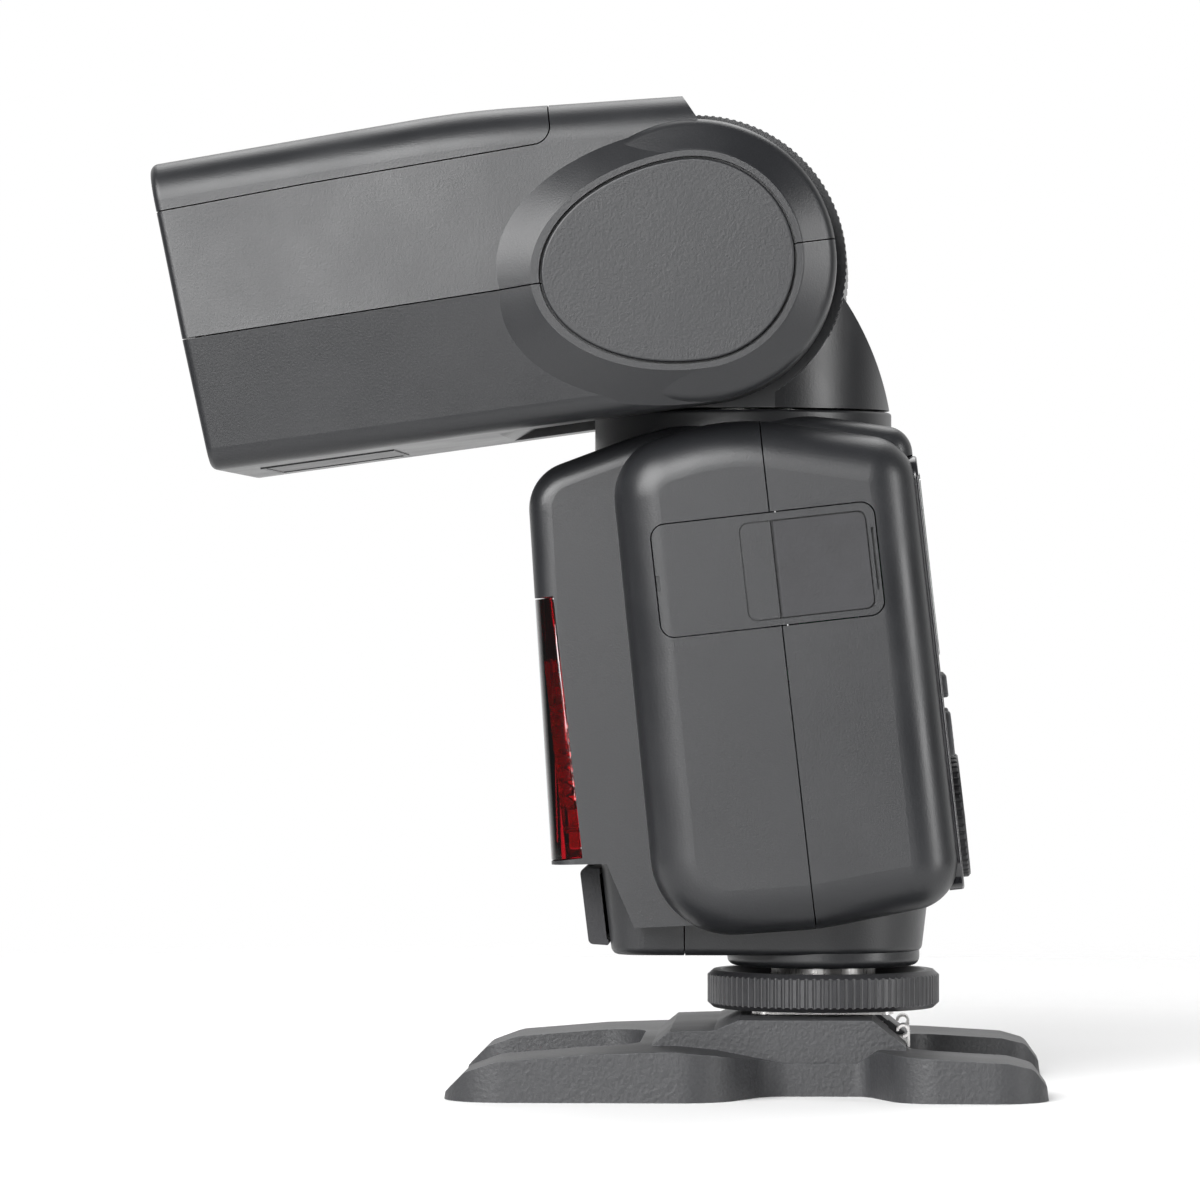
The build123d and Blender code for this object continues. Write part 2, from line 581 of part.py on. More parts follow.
def egg(plane, radius, nose):
    """An egg outline about the tilt axis: round behind, a longer half ellipse in front."""
    with BuildSketch(plane, mode=Mode.PRIVATE) as outline:
        with BuildLine():
            CenterArc((0, 0), radius, 90, 180)
            EllipticalCenterArc((0, 0), nose, radius, start_angle=-90, arc_size=180)
        make_face()
    return outline.sketch


def egg_boss(inner_x, outer_x, inner_egg, outer_egg):
    """A private egg-shaped boss that narrows outwards, on both sides of the head."""
    with BuildPart(mode=Mode.PRIVATE) as boss:
        foot = egg(HEAD_SIDE.offset(inner_x), *inner_egg)
        rim = egg(HEAD_SIDE.offset(outer_x), *outer_egg)
        loft([foot, rim], ruled=True)
        mirror(about=Plane.YZ)
    return boss.part


with BuildPart() as head_outer:
    with BuildSketch(HEAD_SIDE):
        with BuildLine():
            crest = FilletPolyline(FRONT_BROW, (30, 26.95), (-1.8, 24.2), radius=150)
            Polyline(crest @ 1, (-3.6, 20.28), (0, -EAR_R), FRONT_FOOT, crest @ 0)
        make_face()
    extrude(amount=HEAD_HALF_WIDTH, both=True)
    with BuildSketch(HEAD_END.offset(-10)):
        with BuildLine():
            Polyline((0, CREST_UP), (CREST_HALF_WIDTH, CREST_UP), (HEAD_HALF_WIDTH, 0),
                     (KEEL_HALF_WIDTH, KEEL_UP), (0, KEEL_UP))
            mirror(about=Plane.YZ)
        make_face()
    extrude(amount=100, mode=Mode.INTERSECT)
    flank_edges = edges().filter_by(lambda e: abs(e.center().X) > 30)
    heights = [HEAD_SIDE.to_local_coords(e.center()).Y for e in flank_edges]
    fillet([e for e, height in zip(flank_edges, heights) if height > 24.5], EDGE_TOP)
    flank_edges = edges().filter_by(lambda e: abs(e.center().X) > 30)
    heights = [HEAD_SIDE.to_local_coords(e.center()).Y for e in flank_edges]
    fillet([e for e, height in zip(flank_edges, heights) if height < -19.6], EDGE_LOW)
    fillet(faces().sort_by(Axis(PIVOT, HEAD_FWD))[-1].edges(), 1.2)
    with BuildSketch(HEAD_END):
        with BuildLine():
            ear_rim = FilletPolyline((20, EAR_R), (EAR_SHOULDER, EAR_R), (EAR_HALF_WIDTH, RIM_R),
                                     (EAR_HALF_WIDTH, 0), radius=[2.5, 1.0])
            Polyline(ear_rim @ 1, (20, 0), ear_rim @ 0)
        make_face()
    revolve(axis=Axis(PIVOT, (1, 0, 0)), revolution_arc=360)
    mirror(about=Plane.YZ)
    add(egg_boss(BAND_ROOT, EAR_HALF_WIDTH, (EAR_R - 0.02, BAND_NOSE), (RIM_R, RIM_NOSE)))

LENS_HALF_WIDTH, LENS_UP = 32.8, (-17.0, 17.4)
DECK_UP = (16.9, 18.5)     # floor under the wide panel and the bounce card
OPTICS_BACK, OPTICS_FRONT = 24.6, 71.0
SLIDE_HALF_WIDTH = 30.5
RELIEF_UP = -18.8          # hollowed underside, which clears the body as the neck swivels

with BuildPart() as head_walls:
    add(head_outer.part)
    add(block(HEAD_SIDE, (OPTICS_BACK, OPTICS_FRONT), (-17.6, DECK_UP[0]), (-32.6, 32.6), 2.0),
        mode=Mode.SUBTRACT)
    add(block(HEAD_END, (-LENS_HALF_WIDTH, LENS_HALF_WIDTH), LENS_UP, (OPTICS_FRONT - 1, 90), 2.0),
        mode=Mode.SUBTRACT)
    add(block(HEAD_SIDE, (20, 74.2), (DECK_UP[1], 24.2), (-32.2, 32.2), 1.0), mode=Mode.SUBTRACT)
    add(block(HEAD_END, (-31.2, 31.2), (19.6, 23.8), (70, 90), 0.8), mode=Mode.SUBTRACT)
    for side in (-1, 1):
        ear_x = sorted((24.0 * side, 34.0 * side))
        flank_x = sorted((24.0 * side, 32.6 * side))
        add(drum(HEAD_SIDE, (0, 0), 17.4, ear_x), mode=Mode.SUBTRACT)
        add(block(HEAD_SIDE, (0, 27), (-17.3, DECK_UP[0] - 0.3), flank_x), mode=Mode.SUBTRACT)
    slot_x = (-SLOT_HALF_WIDTH, SLOT_HALF_WIDTH)
    add(drum(HEAD_SIDE, (0, 0), DRUM_R + 0.5, slot_x), mode=Mode.SUBTRACT)
    add(block(HEAD_SIDE, (-30, -1.6), (-40, 40), slot_x), mode=Mode.SUBTRACT)
    add(block(HEAD_SIDE, (-30, 19.6), (-40, -11), slot_x), mode=Mode.SUBTRACT)
    with BuildSketch(HEAD_SIDE):
        with BuildLine():
            Polyline((15, -30), (15, RELIEF_UP), (29, RELIEF_UP), (34, -20.6), (34, -30), close=True)
        make_face()
    extrude(amount=SLOT_HALF_WIDTH, both=True, mode=Mode.SUBTRACT)
    add(drum(HEAD_SIDE, (0, 0), AXLE_R + 0.06, (-24.1, 24.1)), mode=Mode.SUBTRACT)
    for side in (-1, 1):
        recess = egg(HEAD_SIDE.offset(side * (EAR_HALF_WIDTH - CAP_T)), CAP_R + 0.35, CAP_NOSE + 0.35)
        extrude(recess, amount=side * (CAP_T + 1), mode=Mode.SUBTRACT)


def above_cover_seam(grow=0.0):
    """A private prism of everything above the top cover's seam."""
    with BuildPart(mode=Mode.PRIVATE) as prism:
        with BuildSketch(HEAD_SIDE):
            with BuildLine():
                seam_line = FilletPolyline(*COVER_SEAM, radius=[60, 2.5])
                Polyline(seam_line @ 1, (90, 40), seam_line @ 0)
            make_face()
            if grow:
                offset(amount=grow)
        extrude(amount=50, both=True)
    return prism.part


with BuildPart() as head_top_cover:
    add(head_walls.part)
    add(above_cover_seam(), mode=Mode.INTERSECT)
    add(block(HEAD_SIDE, (0, 90), (0, DECK_UP[1] + 0.05), (-50, 50)), mode=Mode.SUBTRACT)
save(head_top_cover, "head_top_cover")

with BuildPart() as head_upper_shell:
    add(head_walls.part)
    add(above_cover_seam(SEAM), mode=Mode.SUBTRACT)
    add(block(HEAD_SIDE, (-60, 100), (-60, SEAM / 2), (-50, 50)), mode=Mode.SUBTRACT)
save(head_upper_shell, "head_upper_shell")

with BuildPart() as head_lower_shell:
    add(head_walls.part)
    add(block(HEAD_SIDE, (-60, 100), (-SEAM / 2, 60), (-50, 50)), mode=Mode.SUBTRACT)
save(head_lower_shell, "head_lower_shell")

for side, name in ((-1, "pivot_cap_left"), (1, "pivot_cap_right")):
    with BuildPart() as pivot_cap:
        cap_outline = egg(HEAD_SIDE.offset(side * (EAR_HALF_WIDTH - CAP_T)), CAP_R, CAP_NOSE)
        extrude(cap_outline, amount=side * (CAP_T - 0.1))
        outer_face = pivot_cap.faces().sort_by(Axis.X)[0 if side > 0 else -1]
        fillet(outer_face.edges(), 0.3)
    save(pivot_cap, name)

# ======================= optics =======================
with BuildPart() as fresnel_lens:
    add(block(HEAD_END, (-LENS_HALF_WIDTH + 0.1, LENS_HALF_WIDTH - 0.1), (LENS_UP[0] + 0.1, LENS_UP[1] - 0.1),
              (71.4, 73.6), 1.9))
save(fresnel_lens, "fresnel_lens")

ROD_AT = [(-30, -12), (30, 12)]
SCREW_R, SCREW_PLACE = 1.5, (28.1, -10)
CARRIAGE = (28.0, 31.0)

with BuildPart() as guide_rods:
    with BuildSketch(HEAD_END.offset(OPTICS_BACK)):
        with Locations(*ROD_AT):
            Circle(1.2)
    extrude(amount=45.5)
save(guide_rods, "guide_rods")

with BuildPart() as zoom_motor:
    with BuildSketch(HEAD_END.offset(12.4)):
        with Locations(SCREW_PLACE):
            Circle(4.0)
    extrude(amount=9.6)
    with BuildSketch(HEAD_END.offset(12)):
        with Locations(SCREW_PLACE):
            Circle(SCREW_R + 0.05)
    extrude(amount=12, mode=Mode.SUBTRACT)
save(zoom_motor, "zoom_motor")

with BuildPart() as lead_screw:
    with BuildSketch(HEAD_END.offset(13)):
        with Locations(SCREW_PLACE):
            Circle(SCREW_R)
    extrude(amount=55)
save(lead_screw, "lead_screw")

with BuildPart() as zoom_carriage:
    add(block(HEAD_END, (-32.3, 32.3), (-15.5, 15.0), CARRIAGE, 2.0))
    with BuildSketch(HEAD_END.offset(CARRIAGE[0] - 1)):
        with Locations(*ROD_AT):
            Circle(1.26)
        with Locations(SCREW_PLACE):
            Circle(SCREW_R + 0.05)
    extrude(amount=6, mode=Mode.SUBTRACT)
save(zoom_carriage, "zoom_carriage")

with BuildPart() as reflector:
    with BuildSketch(HEAD_END.offset(CARRIAGE[1])):
        RectangleRounded(44, 9, 3)
    with BuildSketch(HEAD_END.offset(CARRIAGE[1] + 18)):
        RectangleRounded(51, 27, 4)
    loft()
    with BuildSketch(HEAD_END.offset(CARRIAGE[1] + 1)):
        RectangleRounded(42.6, 7.6, 2.5)
    with BuildSketch(HEAD_END.offset(CARRIAGE[1] + 18.1)):
        RectangleRounded(49.6, 25.6, 3.4)
    loft(mode=Mode.SUBTRACT)
save(reflector, "reflector")

with BuildPart() as flash_tube:
    with BuildSketch(Plane.YZ.offset(-19)):
        with Locations((PIVOT_Y + 35 * HEAD_FWD.Y, PIVOT_Z + 35 * HEAD_FWD.Z)):
            Circle(2.2)
    extrude(amount=38)
    fillet(edges().filter_by(GeomType.CIRCLE), 0.9)
save(flash_tube, "flash_tube")

with BuildPart() as wide_panel:
    add(block(HEAD_PLAN.offset(19.9), (-SLIDE_HALF_WIDTH, SLIDE_HALF_WIDTH), (24.5, 75.0), (0, 1.2), 1.5))
save(wide_panel, "wide_panel")

with BuildPart() as bounce_card:
    add(block(HEAD_PLAN.offset(21.6), (-SLIDE_HALF_WIDTH, SLIDE_HALF_WIDTH), (24.5, 75.0), (0, 0.8), 1.5))
    add(block(HEAD_PLAN.offset(21.6), (-9, 9), (73.2, 75.6), (0, 2.0), 0.5))
save(bounce_card, "bounce_card")

# ======================= foot of the flash =======================
FOOT_R, FOOT_LOW, FOOT_DRAFT = 14.7, 20.1, 6.7
FOOT_FRONT, FOOT_SPLIT = -31.3, -20.4
COLLAR_R, COLLAR_LOW = 14.4, 18.1
SLEEVE_R = 7.8
FLANGE_R = 11.5
PLATE_LOW = SHOE_FLOOR_Z + 0.15
LIFT = 0.45                # how far the clamp rises as the ring is loosened


def foot_outline(inset=0.0):
    """The foot's outline: a round back about the lock ring and a squarer front."""
    with BuildSketch(Plane.XY.offset(FOOT_LOW), mode=Mode.PRIVATE) as outline:
        Circle(FOOT_R)
        with Locations((0, FOOT_FRONT / 2)):
            Rectangle(2 * FOOT_R, -FOOT_FRONT)
        fillet(outline.vertices().group_by(Axis.Y)[0], 5)
        if inset:
            offset(amount=-inset)
    return outline.sketch


with BuildPart() as foot_block:
    extrude(foot_outline(), amount=16, taper=-FOOT_DRAFT)
    fillet(faces().sort_by(Axis.Z)[0].edges(), 1.2)
    add(body_outer, mode=Mode.SUBTRACT)

with BuildPart() as foot_block_front:
    add(foot_block.part)
    add(block(Plane.XY, (-40, 40), (FOOT_SPLIT - SEAM / 2, 40), (0, 60)), mode=Mode.SUBTRACT)
    add(socket_hole, mode=Mode.SUBTRACT)
save(foot_block_front, "foot_block_front")

with BuildPart() as foot_block_rear:
    add(foot_block.part)
    add(block(Plane.XY, (-40, 40), (-60, FOOT_SPLIT + SEAM / 2), (0, 60)), mode=Mode.SUBTRACT)
    with BuildSketch(Plane.XY.offset(COLLAR_LOW)):
        Circle(COLLAR_R)
    extrude(amount=FOOT_LOW - COLLAR_LOW + 1.5)
    fillet(edges().filter_by(GeomType.CIRCLE).sort_by(Axis.Z)[0], 1.2)
    with BuildSketch(Plane.XY.offset(COLLAR_LOW)):
        Circle(FLANGE_R + 0.05)
    extrude(amount=2.05, mode=Mode.SUBTRACT)
save(foot_block_rear, "foot_block_rear")

with BuildPart() as power_socket:
    add(block(Plane.XZ.offset(24), (-SOCKET_HALF_WIDTH, SOCKET_HALF_WIDTH), SOCKET_Z, (0, 7.2), 1.4))
    with BuildSketch(Plane.XZ.offset(33)):
        with Locations((0, sum(SOCKET_Z) / 2)):
            with GridLocations(4.2, 0, 3, 1):
                Circle(1.0)
    extrude(amount=-5, mode=Mode.SUBTRACT)
save(power_socket, "power_socket")

with BuildPart() as socket_cap:
    with BuildSketch(SIDE):
        with BuildLine():
            FilletPolyline((-31.85, 21.3), (-34.8, 21.5), (-36.2, 32.9), (-33.2, 32.7), (-33.1, 31.8),
                           (-35.0, 31.9), (-33.9, 22.4), (-31.95, 22.2),
                           radius=[0.2, 0.8, 0.9, 0.2, 0.2, 0.4, 0.4, 0.2], close=True)
        make_face()
    extrude(amount=8.6, both=True)
    for side in (-1, 1):
        cheek_x = sorted((side * 7.8, side * 8.6))
        with BuildSketch(SIDE.offset(cheek_x[0])):
            with BuildLine():
                Polyline((-32.1, 22.0), (-34.3, 22.0), (-35.5, 32.3), (-33.3, 32.3), close=True)
            make_face()
        extrude(amount=cheek_x[1] - cheek_x[0])
save(socket_cap, "socket_cap")

PIN_AT, PIN_R = (0, -5.8), 1.2
CONTACT_AT = [(0, 0.6), (-3.6, 4.6), (3.6, 4.6), (-4.4, -1.4), (4.4, -1.4)]

with BuildPart() as hot_shoe_foot:
    with BuildSketch(Plane.XY.offset(PLATE_LOW)):
        RectangleRounded(SHOE_W, SHOE_L, 1.2)
    extrude(amount=SHOE_T)
    chamfer(edges().group_by(Axis.Z)[0], 0.3)
    with BuildSketch(Plane.XY.offset(PLATE_LOW + SHOE_T)):
        RectangleRounded(12.3, 15.4, 1.0)
    extrude(amount=RAIL_TOP_Z + 0.3 - PLATE_LOW - SHOE_T)
    with BuildSketch(Plane.XY.offset(RAIL_TOP_Z + 0.3)):
        Circle(SLEEVE_R)
    extrude(amount=COLLAR_LOW + 2 - RAIL_TOP_Z - 0.3)
    with BuildSketch(Plane.XY.offset(COLLAR_LOW + 0.2)):
        Circle(FLANGE_R)
    extrude(amount=1.8)
    with BuildSketch(Plane.XY):
        with Locations(PIN_AT):
            Circle(PIN_R + 0.06)
    extrude(amount=18.4, mode=Mode.SUBTRACT)
    with BuildSketch(Plane.XY):
        with Locations(*CONTACT_AT):
            Circle(0.9)
    extrude(amount=PLATE_LOW + 3, mode=Mode.SUBTRACT)
save(hot_shoe_foot, "hot_shoe_foot")

with BuildPart() as shoe_contacts:
    with BuildSketch(Plane.XY.offset(PLATE_LOW - 0.05)):
        with Locations(*CONTACT_AT):
            Circle(0.9)
    extrude(amount=3.05)
    chamfer(edges().group_by(Axis.Z)[0], 0.25)
save(shoe_contacts, "shoe_contacts")

with BuildPart() as lock_pin:
    with BuildSketch(Plane.XY.offset(PLATE_LOW)):
        with Locations(PIN_AT):
            Circle(PIN_R)
    extrude(amount=9)
    chamfer(edges().group_by(Axis.Z)[0], 0.4)
save(lock_pin, "lock_pin")

with BuildPart() as clamp_plate:
    with BuildSketch(Plane.XY.offset(RAIL_TOP_Z + 0.1)):
        RectangleRounded(21, 21, 2)
        Circle(SLEEVE_R + 0.06, mode=Mode.SUBTRACT)
        Rectangle(12.5, 15.6, mode=Mode.SUBTRACT)
    extrude(amount=1.3)
save(clamp_plate, "clamp_plate")

RING_TEETH = 92
with BuildPart() as lock_ring:
    with BuildSketch(Plane.XY.offset(RING_LOW)):
        Circle(RING_R)
        with PolarLocations(RING_R + 0.12, RING_TEETH):
            Circle(0.36, mode=Mode.SUBTRACT)
    extrude(amount=RING_HIGH - RING_LOW)
    with BuildSketch(SIDE):
        with BuildLine():
            bevel = 0.85
            Polyline((0, RING_LOW), (RING_R - bevel, RING_LOW), (RING_R + 0.1, RING_LOW + bevel),
                     (RING_R + 0.1, RING_HIGH - bevel), (RING_R - bevel, RING_HIGH),
                     (COLLAR_R + 0.9, RING_HIGH), (COLLAR_R - 0.2, RING_HIGH - 1.4),
                     (0, RING_HIGH - 1.4), close=True)
        make_face()
    revolve(axis=Axis.Z, mode=Mode.INTERSECT)
    with BuildSketch(Plane.XY.offset(RING_LOW)):
        Circle(15.2)
    extrude(amount=0.8, mode=Mode.SUBTRACT)
    with BuildSketch(Plane.XY.offset(RING_LOW)):
        Circle(SLEEVE_R + 0.08)
    extrude(amount=10, mode=Mode.SUBTRACT)
save(lock_ring, "lock_ring")

# ======================= mini stand =======================
FOOT_INNER = 19.0          # inner side of each stand foot
WAIST = 24.0

with BuildPart() as stand_base:
    with BuildSketch():
        with BuildLine():
            FilletPolyline(
                (0, -27), (FOOT_INNER, -27), (FOOT_INNER, STAND_FRONT), (STAND_HALF_WIDTH, STAND_FRONT),
                (STAND_HALF_WIDTH, -15), (WAIST, -8), (WAIST, 6.5), (STAND_HALF_WIDTH, 12),
                (STAND_HALF_WIDTH, STAND_BACK), (FOOT_INNER, STAND_BACK), (FOOT_INNER, 12.5), (0, 12.5),
                radius=[7, 7, 9, 9, 5, 3, 7, 8, 6, 5])
            mirror(about=Plane.YZ)
        make_face()
    extrude(amount=14)
    with BuildSketch(SIDE):
        with BuildLine():
            FilletPolyline(
                (STAND_FRONT, 0), (STAND_FRONT + 0.3, 1.2), (-51.6, 4.3), (-47, 5.9), (-33.6, 7.0),
                (-21.5, 7.4), (-15.4, 6.8), (-5.2, 4.8), (5.2, 4.8), (8.3, 6.9), (27.1, 5.8),
                (30.7, 4.9), (STAND_BACK - 0.3, 2.2), (STAND_BACK, 0),
                radius=[0.05, 0.4, 2, 6, 8, 10, 6, 8, 1.5, 1.5, 2, 2, 0.4, 0.05], close=True)
        make_face()
    extrude(amount=50, both=True, mode=Mode.INTERSECT)
    with BuildSketch(SIDE):
        with BuildLine():
            Polyline((-25.4, 3), (-25.0, 7.3), (-22.4, 9.4), (-15.9, 9.6), (-12.2, RAIL_TOP_Z),
                     (7.4, RAIL_TOP_Z), (12.3, 7.2), (12.3, 3), close=True)
        make_face()
    extrude(amount=WAIST - 0.6, both=True)
    add(block(Plane.XY, (-SHOE_W / 2 - 0.25, SHOE_W / 2 + 0.25), (-SHOE_L / 2 - 0.25, 40),
              (SHOE_FLOOR_Z - 0.4, SHOE_LIP_Z + 0.05)), mode=Mode.SUBTRACT)
    add(block(Plane.XY, (-6.4, 6.4), (-SHOE_L / 2 - 0.25, 40), (SHOE_FLOOR_Z, 20)), mode=Mode.SUBTRACT)
    with BuildSketch():
        Circle(4.5)
    extrude(amount=5.4, mode=Mode.SUBTRACT)
save(stand_base, "stand_base")

with BuildPart() as thread_insert:
    with BuildSketch():
        Circle(4.5)
        Circle(2.55, mode=Mode.SUBTRACT)
    extrude(amount=5.2)
save(thread_insert, "thread_insert")

SPRING_T = 0.38
WING_BACK, WING_SPAN = 12.55, (9.7, 14.0)      # bent-up wings behind the shoe, clear of the foot
ROLL_R, ROLL_Z = 1.0, 9.0
with BuildPart() as shoe_spring_plate:
    add(block(Plane.XY, (-9.2, 9.2), (-SHOE_L / 2 - 0.1, WING_BACK + SPRING_T),
              (SHOE_FLOOR_Z - SPRING_T, SHOE_FLOOR_Z)))
    add(block(Plane.XY, (-WING_SPAN[1], WING_SPAN[1]), (WING_BACK, WING_BACK + SPRING_T),
              (SHOE_FLOOR_Z - SPRING_T, SHOE_FLOOR_Z)))
    for side in (-1, 1):
        wing_x = sorted((side * WING_SPAN[0], side * WING_SPAN[1]))
        add(block(Plane.XY, wing_x, (WING_BACK, WING_BACK + SPRING_T), (SHOE_FLOOR_Z - SPRING_T, ROLL_Z)))
        with BuildSketch(SIDE.offset(wing_x[0])):
            with Locations((WING_BACK + SPRING_T - ROLL_R, ROLL_Z)):
                Circle(ROLL_R)
                Circle(ROLL_R - SPRING_T, mode=Mode.SUBTRACT)
                Rectangle(2, 2, align=(Align.MAX, Align.MAX), mode=Mode.SUBTRACT)
        extrude(amount=WING_SPAN[1] - WING_SPAN[0])
save(shoe_spring_plate, "shoe_spring_plate")
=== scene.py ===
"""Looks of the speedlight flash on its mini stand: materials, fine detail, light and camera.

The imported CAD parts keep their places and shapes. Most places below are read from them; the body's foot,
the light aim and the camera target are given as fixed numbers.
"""
import json
from math import cos, pi, radians, sin

import bmesh
import bpy
from mathutils import Matrix, Vector


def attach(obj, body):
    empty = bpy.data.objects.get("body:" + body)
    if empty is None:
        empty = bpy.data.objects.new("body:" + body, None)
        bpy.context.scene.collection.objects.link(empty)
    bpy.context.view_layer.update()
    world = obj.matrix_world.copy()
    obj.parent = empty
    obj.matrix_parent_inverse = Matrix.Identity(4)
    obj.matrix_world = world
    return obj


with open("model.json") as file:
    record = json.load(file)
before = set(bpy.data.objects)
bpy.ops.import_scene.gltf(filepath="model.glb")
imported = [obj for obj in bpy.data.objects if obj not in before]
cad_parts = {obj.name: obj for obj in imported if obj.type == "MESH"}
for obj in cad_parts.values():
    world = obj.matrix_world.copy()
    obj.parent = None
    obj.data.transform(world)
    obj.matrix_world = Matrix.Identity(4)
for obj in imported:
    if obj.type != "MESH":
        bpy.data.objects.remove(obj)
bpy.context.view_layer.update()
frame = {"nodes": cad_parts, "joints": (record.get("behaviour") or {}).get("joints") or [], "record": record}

MM = 0.001
nodes = frame["nodes"]
joints = {joint["name"]: joint for joint in frame["joints"]}


# ---------------------------------------------------------------- places
def local_frame(origin, forward, up):
    """A right-handed frame: x sideways, y along forward, z along up."""
    forward, up = Vector(forward).normalized(), Vector(up).normalized()
    place = Matrix((forward.cross(up), forward, up)).transposed().to_4x4()
    place.translation = origin
    return place


def span(node, place):
    """Lowest and highest corner of a CAD node, measured in a local frame."""
    inverse = place.inverted()
    points = [inverse @ vertex.co for vertex in nodes[node].data.vertices]
    low = Vector([min(point[axis] for point in points) for axis in range(3)])
    high = Vector([max(point[axis] for point in points) for axis in range(3)])
    return low, high


body_back = -Vector(joints["set_press"]["axis"])
body_up = -Vector(joints["door_hinge"]["axis"])
head_forward = Vector(joints["zoom_slide"]["axis"])
pivot = Vector(joints["tilt"]["pos_m"])
BODY_ORIGIN = Vector((0, 0, 0.0179))       # foot of the leaning body, above the stand
BODY = local_frame(BODY_ORIGIN, body_back, body_up)          # y back, z up the body
HEAD = local_frame(pivot, head_forward, Vector((1, 0, 0)).cross(head_forward) * -1)


# ---------------------------------------------------------------- materials
class Shading:
    """One Principled material with short calls for the nodes that drive it."""

    def __init__(self, name, colour, roughness, **sockets):
        self.material = bpy.data.materials.new(name)
        self.material.use_nodes = True
        self.tree = self.material.node_tree
        self.shader = self.tree.nodes["Principled BSDF"]
        self.shader.inputs["Base Color"].default_value = (*colour, 1)
        self.shader.inputs["Roughness"].default_value = roughness
        for socket, value in sockets.items():
            self.shader.inputs[socket.replace("_", " ")].default_value = value
        self.coords = self.add("ShaderNodeTexCoord").outputs["Object"]

    def add(self, kind, **values):
        node = self.tree.nodes.new(kind)
        for key, value in values.items():
            setattr(node, key, value)
        return node

    def feed(self, node, **links):
        for socket, source in links.items():
            target = node.inputs[socket.replace("_", " ")]
            if hasattr(source, "is_output"):
                self.tree.links.new(source, target)
            else:
                target.default_value = source
        return node

    def noise(self, size_mm, detail=3.0, roughness=0.55):
        """Cloudy noise whose blobs are about size_mm across, from 0 to 1."""
        node = self.feed(self.add("ShaderNodeTexNoise"), Vector=self.coords, Scale=1000 / size_mm)
        return self.feed(node, Detail=detail, Roughness=roughness).outputs["Fac"]

    def pits(self, size_mm):
        """Rounded cells of about size_mm, the texture of a spark-eroded mould."""
        node = self.add("ShaderNodeTexVoronoi", feature="SMOOTH_F1")
        self.feed(node, Vector=self.coords, Scale=1000 / size_mm, Smoothness=0.6)
        return node.outputs["Distance"]

    def brushed(self, size_mm, stretch):
        """Noise drawn out along one axis, for machined and brushed metal."""
        mapping = self.feed(self.add("ShaderNodeMapping"), Vector=self.coords, Scale=stretch)
        node = self.feed(self.add("ShaderNodeTexNoise"), Vector=mapping.outputs[0], Scale=1000 / size_mm)
        return self.feed(node, Detail=2.0).outputs["Fac"]

    def maths(self, operation, first, second):
        node = self.add("ShaderNodeMath", operation=operation)
        for socket, source in zip(node.inputs, (first, second)):
            if hasattr(source, "is_output"):
                self.tree.links.new(source, socket)
            else:
                socket.default_value = source
        return node.outputs[0]

    def spread(self, source, low, high, start=0.3, end=0.7):
        """A noise from start to end, mapped onto low to high."""
        node = self.feed(self.add("ShaderNodeMapRange"), Value=source, From_Min=start, From_Max=end)
        return self.feed(node, To_Min=low, To_Max=high).outputs["Result"]

    def tint(self, factor, *stops):
        """A colour ramp from (position, colour) stops."""
        ramp = self.add("ShaderNodeValToRGB")
        while len(ramp.color_ramp.elements) < len(stops):
            ramp.color_ramp.elements.new(0.5)
        for element, (position, colour) in zip(ramp.color_ramp.elements, stops):
            element.position = position
            element.color = (*colour, 1)
        self.tree.links.new(factor, ramp.inputs["Fac"])
        return ramp.outputs["Color"]

    def edges(self, radius_mm):
        """0 on flat faces, up to 1 where a face turns within radius_mm."""
        bevel = self.add("ShaderNodeBevel", samples=4)
        bevel.inputs["Radius"].default_value = radius_mm * MM
        flat = self.add("ShaderNodeNewGeometry").outputs["Normal"]
        turn = self.add("ShaderNodeVectorMath", operation="DOT_PRODUCT")
        self.tree.links.new(bevel.outputs[0], turn.inputs[0])
        self.tree.links.new(flat, turn.inputs[1])
        return self.spread(turn.outputs["Value"], 1.0, 0.0, 0.86, 0.995)

    def colour(self, source):
        self.tree.links.new(source, self.shader.inputs["Base Color"])

    def roughness(self, source):
        self.tree.links.new(source, self.shader.inputs["Roughness"])

    def bump(self, height, depth_mm, strength=1.0):
        node = self.feed(self.add("ShaderNodeBump"), Height=height, Distance=depth_mm * MM)
        node.inputs["Strength"].default_value = strength
        self.tree.links.new(node.outputs[0], self.shader.inputs["Normal"])


def scaled(colour, share):
    return tuple(min(1.0, channel * share) for channel in colour)


def moulded(name, colour, rough, grain_mm, depth_mm, worn=0.35, specular=0.5):
    """Textured black ABS: eroded grain, handling sheen in patches, paler rubbed edges."""
    look = Shading(name, colour, rough, Specular_IOR_Level=specular)
    grain = look.noise(grain_mm, 2.0)
    texture = look.maths("ADD", grain, look.maths("MULTIPLY", look.pits(grain_mm * 1.7), 0.7))
    patches = look.noise(17, 4.0)
    rubbed = look.maths("MULTIPLY", look.edges(0.3), look.spread(look.noise(2.2), 0.15, 1.0))
    base = look.tint(patches, (0.3, scaled(colour, 0.86)), (0.7, scaled(colour, 1.12)))
    speck = look.tint(grain, (0.35, scaled(colour, 0.75)), (0.7, scaled(colour, 1.3)))
    both = look.feed(look.add("ShaderNodeMix", data_type="RGBA"), Factor=0.5)
    look.tree.links.new(base, both.inputs[6])
    look.tree.links.new(speck, both.inputs[7])
    wear = look.add("ShaderNodeMix", data_type="RGBA")
    look.tree.links.new(look.maths("MULTIPLY", rubbed, worn), wear.inputs[0])
    look.tree.links.new(both.outputs[2], wear.inputs[6])
    wear.inputs[7].default_value = (*scaled(colour, 3.2), 1)
    look.colour(wear.outputs[2])
    sheen = look.spread(patches, rough - 0.05, rough + 0.06)
    look.roughness(look.maths("SUBTRACT", sheen, look.maths("MULTIPLY", rubbed, 0.12)))
    look.bump(texture, depth_mm)
    return look.material


